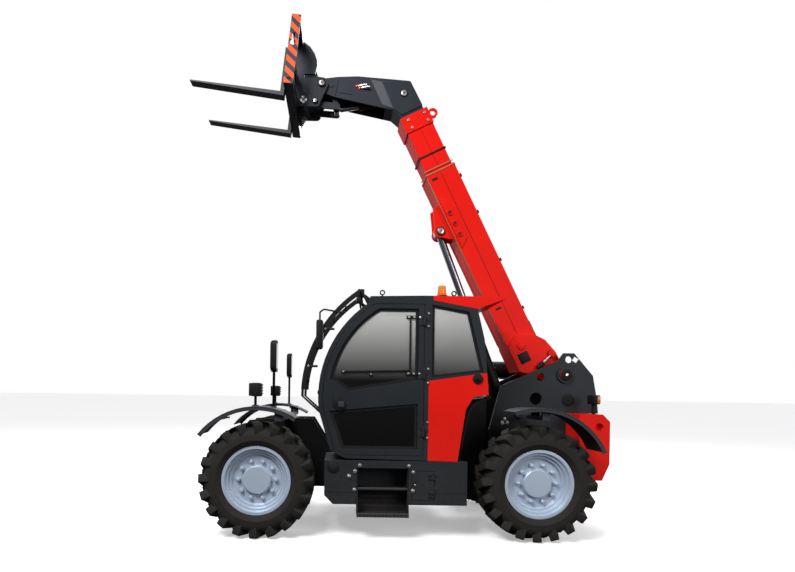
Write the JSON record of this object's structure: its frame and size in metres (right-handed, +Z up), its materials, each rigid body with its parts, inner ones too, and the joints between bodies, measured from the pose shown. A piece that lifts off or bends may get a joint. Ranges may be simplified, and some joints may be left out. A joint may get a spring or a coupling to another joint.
{
  "type": "telescopic handler with fork carriage",
  "caption": "Rough-terrain telescopic handler with a raised two-section boom, cranked head, fork carriage and side cab on steered wheels",
  "frame": {"origin": "middle of the bounding box, on the ground under the wheels", "axes": "+X forward, +Y to the left side with the cab, +Z up"},
  "size_m": [4.788, 2.2, 5.6453],
  "materials": {
    "red": "semi-gloss signal red paint",
    "slate": "satin slate grey paint",
    "anthracite": "satin anthracite grey paint",
    "black": "satin black paint",
    "black_plastic": "matte black plastic",
    "silver": "silver grey rim paint",
    "tyre": "worn black rubber",
    "chrome": "hard chrome",
    "glass": "tinted safety glass",
    "amber": "amber lens",
    "lamp": "clear lamp lens",
    "seat": "dark seat fabric",
    "iron": "raw cast metal"
  },
  "bodies": {
    "chassis": {"chassis_frame": "anthracite", "rear_counterweight": "red", "rear_hitch": "black", "front_axle": "black", "rear_axle": "black", "engine_block": "iron", "engine_tray": "black", "hydraulic_tank": "anthracite", "air_cleaner": "black_plastic", "left_skirt": "anthracite", "steps": "black", "front_fenders": "slate", "rear_fenders": "slate", "front_posts": "black_plastic", "front_lights": "lamp", "rear_lights": "amber", "cab_floor": "black", "cab_left_frame": "anthracite", "cab_right_frame": "anthracite", "cab_front_panel": "anthracite", "cab_rear_frame": "anthracite", "cab_roof": "black", "roof_visor": "red", "side_panel": "red", "cab_windows": "glass", "windscreen_guard": "black", "beacon": "amber", "seat_base": "black", "seat_cushions": "seat", "steering_column": "black_plastic", "control_console": "black_plastic"},
    "engine_hood": {"engine_hood": "anthracite"},
    "locker_door": {"locker_door": "anthracite"},
    "cab_door": {"cab_door": "anthracite", "door_glass": "glass"},
    "boom": {"boom_outer": "red"},
    "extension": {"boom_inner": "red", "boom_head": "slate"},
    "lift_barrel": {"lift_barrel": "black"},
    "lift_rod": {"lift_rod": "chrome"},
    "tilt_barrel": {"tilt_barrel": "black"},
    "tilt_rod": {"tilt_rod": "chrome"},
    "tilt_rocker": {"tilt_rocker": "slate"},
    "tilt_link": {"tilt_link": "slate"},
    "carriage": {"fork_carriage": "slate", "forks": "black"},
    "knuckle_front_left": {"knuckle_front_left": "black"},
    "wheel_front_left": {"rim_front_left": "silver", "tyre_front_left": "tyre"},
    "knuckle_front_right": {"knuckle_front_right": "black"},
    "wheel_front_right": {"rim_front_right": "silver", "tyre_front_right": "tyre"},
    "knuckle_rear_left": {"knuckle_rear_left": "black"},
    "wheel_rear_left": {"rim_rear_left": "silver", "tyre_rear_left": "tyre"},
    "knuckle_rear_right": {"knuckle_rear_right": "black"},
    "wheel_rear_right": {"rim_rear_right": "silver", "tyre_rear_right": "tyre"}
  },
  "joints": [
    {"name": "boom_lift", "type": "hinge", "parent": "chassis", "child": "boom", "pos_m": [-1.955, 0, 1.735], "axis": [0, -1, 0], "range_deg": [-67, 5]},
    {"name": "boom_extend", "type": "slide", "parent": "boom", "child": "extension", "axis": [0.4384, 0, 0.8988], "range_m": [0, 2]},
    {"name": "carriage_tilt", "type": "hinge", "parent": "extension", "child": "carriage", "pos_m": [0.92465, 0, 5.14584], "axis": [0, 1, 0], "range_deg": [-75, 65]},
    {"name": "lift_barrel_swing", "type": "hinge", "parent": "chassis", "child": "lift_barrel", "pos_m": [-1.51, 0, 0.84], "axis": [0, -1, 0], "range_deg": [-63, 6]},
    {"name": "lift_rod_slide", "type": "slide", "parent": "lift_barrel", "child": "lift_rod", "axis": [0.3561, 0, 0.9345], "range_m": [-1.12, 0.1]},
    {"name": "tilt_barrel_swing", "type": "hinge", "parent": "extension", "child": "tilt_barrel", "pos_m": [-0.05154, 0, 5.05777], "axis": [0, 1, 0], "range_deg": [-6, 6]},
    {"name": "tilt_rod_slide", "type": "slide", "parent": "tilt_barrel", "child": "tilt_rod", "axis": [0.9845, 0, -0.1752], "range_m": [-0.2, 0.23]},
    {"name": "tilt_rocker_swing", "type": "hinge", "parent": "extension", "child": "tilt_rocker", "pos_m": [0.80593, 0, 5.14665], "axis": [0, 1, 0], "range_deg": [-80, 80]},
    {"name": "tilt_link_swing", "type": "hinge", "parent": "tilt_rocker", "child": "tilt_link", "pos_m": [0.74265, 0, 4.9164], "axis": [0, 1, 0], "range_deg": [-40, 40]},
    {"name": "steer_front_left", "type": "hinge", "parent": "chassis", "child": "knuckle_front_left", "pos_m": [1.496, 0.79, 0.59], "axis": [0, 0, 1], "range_deg": [-35, 35]},
    {"name": "wheel_front_left_spin", "type": "hinge", "parent": "knuckle_front_left", "child": "wheel_front_left", "pos_m": [1.496, 0.9, 0.59], "axis": [0, 1, 0], "continuous": true},
    {"name": "steer_front_right", "type": "hinge", "parent": "chassis", "child": "knuckle_front_right", "pos_m": [1.496, -0.79, 0.59], "axis": [0, 0, 1], "range_deg": [-35, 35]},
    {"name": "wheel_front_right_spin", "type": "hinge", "parent": "knuckle_front_right", "child": "wheel_front_right", "pos_m": [1.496, -0.9, 0.59], "axis": [0, 1, 0], "continuous": true},
    {"name": "steer_rear_left", "type": "hinge", "parent": "chassis", "child": "knuckle_rear_left", "pos_m": [-1.36, 0.79, 0.59], "axis": [0, 0, 1], "range_deg": [-35, 35]},
    {"name": "wheel_rear_left_spin", "type": "hinge", "parent": "knuckle_rear_left", "child": "wheel_rear_left", "pos_m": [-1.36, 0.9, 0.59], "axis": [0, 1, 0], "continuous": true},
    {"name": "steer_rear_right", "type": "hinge", "parent": "chassis", "child": "knuckle_rear_right", "pos_m": [-1.36, -0.79, 0.59], "axis": [0, 0, 1], "range_deg": [-35, 35]},
    {"name": "wheel_rear_right_spin", "type": "hinge", "parent": "knuckle_rear_right", "child": "wheel_rear_right", "pos_m": [-1.36, -0.9, 0.59], "axis": [0, 1, 0], "continuous": true},
    {"name": "cab_door_swing", "type": "hinge", "parent": "chassis", "child": "cab_door", "pos_m": [-0.18998, 1.014, 1.6], "axis": [0, 0, 1], "range_deg": [0, 90]},
    {"name": "locker_door_swing", "type": "hinge", "parent": "chassis", "child": "locker_door", "pos_m": [-0.30672, 1.028, 0.55], "axis": [0, 0, 1], "range_deg": [0, 100]},
    {"name": "engine_hood_lift", "type": "hinge", "parent": "chassis", "child": "engine_hood", "pos_m": [-0.14, -0.287, 1.5474], "axis": [-1, 0, 0], "range_deg": [0, 55]}
  ],
  "couplings": [
    {"joint": "lift_barrel_swing", "follows": "boom_lift", "ratio": 0.9104},
    {"joint": "lift_rod_slide", "follows": "boom_lift", "m_per_rad": 0.9313},
    {"joint": "tilt_barrel_swing", "follows": "carriage_tilt", "ratio": -0.02},
    {"joint": "tilt_rod_slide", "follows": "carriage_tilt", "m_per_rad": -0.164},
    {"joint": "tilt_rocker_swing", "follows": "carriage_tilt", "ratio": 0.97},
    {"joint": "tilt_link_swing", "follows": "carriage_tilt", "ratio": -0.35},
    {"joint": "steer_front_right", "follows": "steer_front_left", "ratio": 1},
    {"joint": "steer_rear_right", "follows": "steer_rear_left", "ratio": 1}
  ]
}
